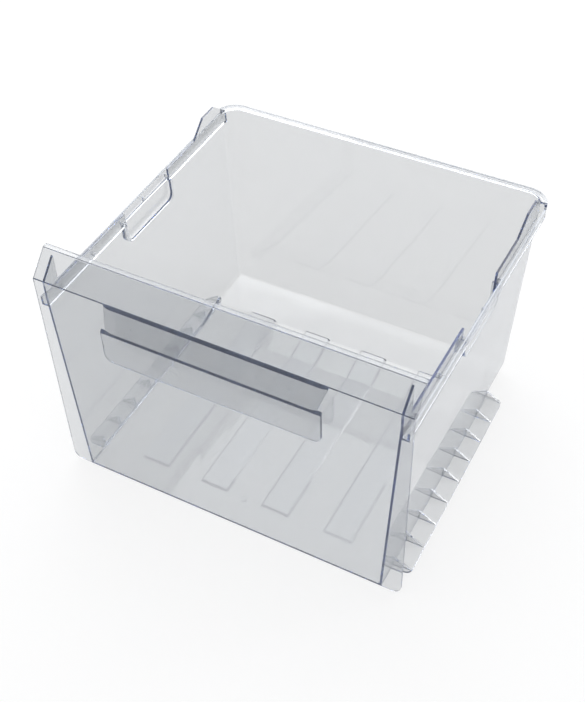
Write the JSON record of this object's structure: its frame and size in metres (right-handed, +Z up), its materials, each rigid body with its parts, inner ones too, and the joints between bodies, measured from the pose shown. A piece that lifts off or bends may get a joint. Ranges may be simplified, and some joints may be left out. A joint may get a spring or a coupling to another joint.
{
  "type": "freezer drawer",
  "caption": "Clear moulded freezer drawer: deep tub with a front panel, hanging finger grip, rim channel and ribbed side runners.",
  "frame": {"origin": "centre of the drawer's outline at the level of its underside", "axes": "+X to the right seen from the front, +Y from the front panel to the back, +Z up"},
  "size_m": [0.43, 0.4108, 0.315],
  "materials": {
    "clear_plastic": "clear, gloss, faintly blue at its edges"
  },
  "bodies": {
    "root": {"drawer_body": "clear_plastic"}
  },
  "joints": []
}
